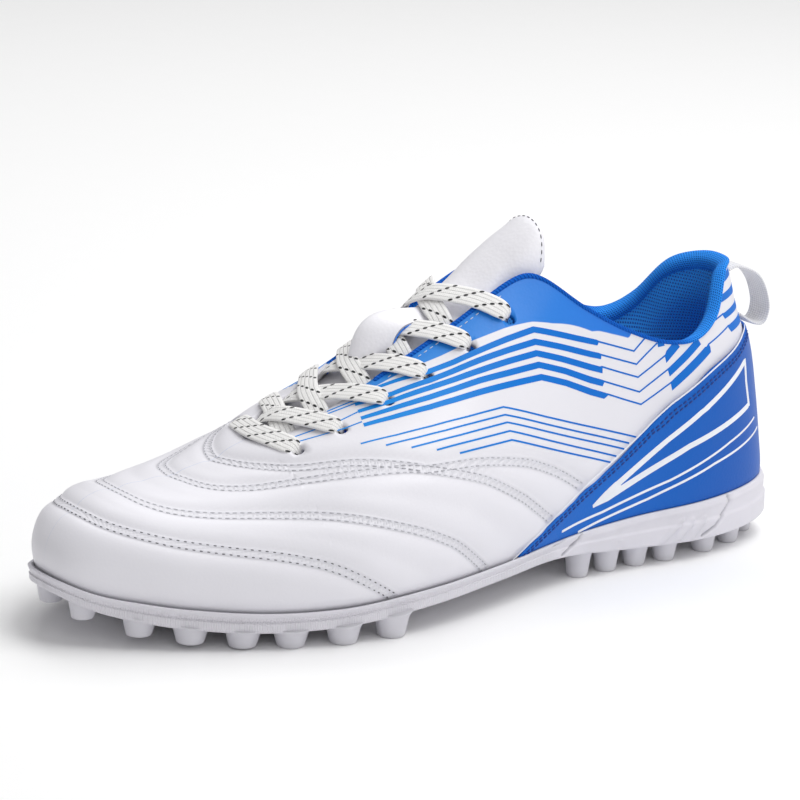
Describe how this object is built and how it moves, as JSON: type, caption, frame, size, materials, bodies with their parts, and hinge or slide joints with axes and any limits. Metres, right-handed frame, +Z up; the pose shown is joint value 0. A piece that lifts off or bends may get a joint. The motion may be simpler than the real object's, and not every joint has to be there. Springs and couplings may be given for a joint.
{
  "type": "turf shoe",
  "caption": "Low-cut left turf shoe: studded cup sole, quilted white upper with blue striped sides, wedge heel panel, flat laces, white tongue and heel pull loop.",
  "frame": {"origin": "centre of the bounding box, on the plane of the stud bottoms", "axes": "+X from toe to heel, +Y towards the medial side, +Z up from the floor"},
  "size_m": [0.295, 0.1066, 0.1252],
  "materials": {
    "rubber_white": "satin off-white moulded rubber",
    "leather_white": "smooth white synthetic leather, printed blue on the sides",
    "leather_blue": "smooth deep blue synthetic leather",
    "tongue_white": "smooth white padded synthetic leather",
    "insole_cloth": "woven blue cloth on foam",
    "lace_white": "flat ribbed off-white weave with black flecks",
    "webbing_white": "white webbing"
  },
  "bodies": {
    "root": {"outsole": "rubber_white", "upper": "leather_white", "heel_panel": "leather_blue", "tongue": "tongue_white", "insole": "insole_cloth", "lace_row_1": "lace_white", "lace_row_2": "lace_white", "lace_row_3": "lace_white", "lace_row_4": "lace_white", "lace_row_5": "lace_white", "lace_row_6": "lace_white", "pull_loop": "webbing_white"}
  },
  "joints": []
}
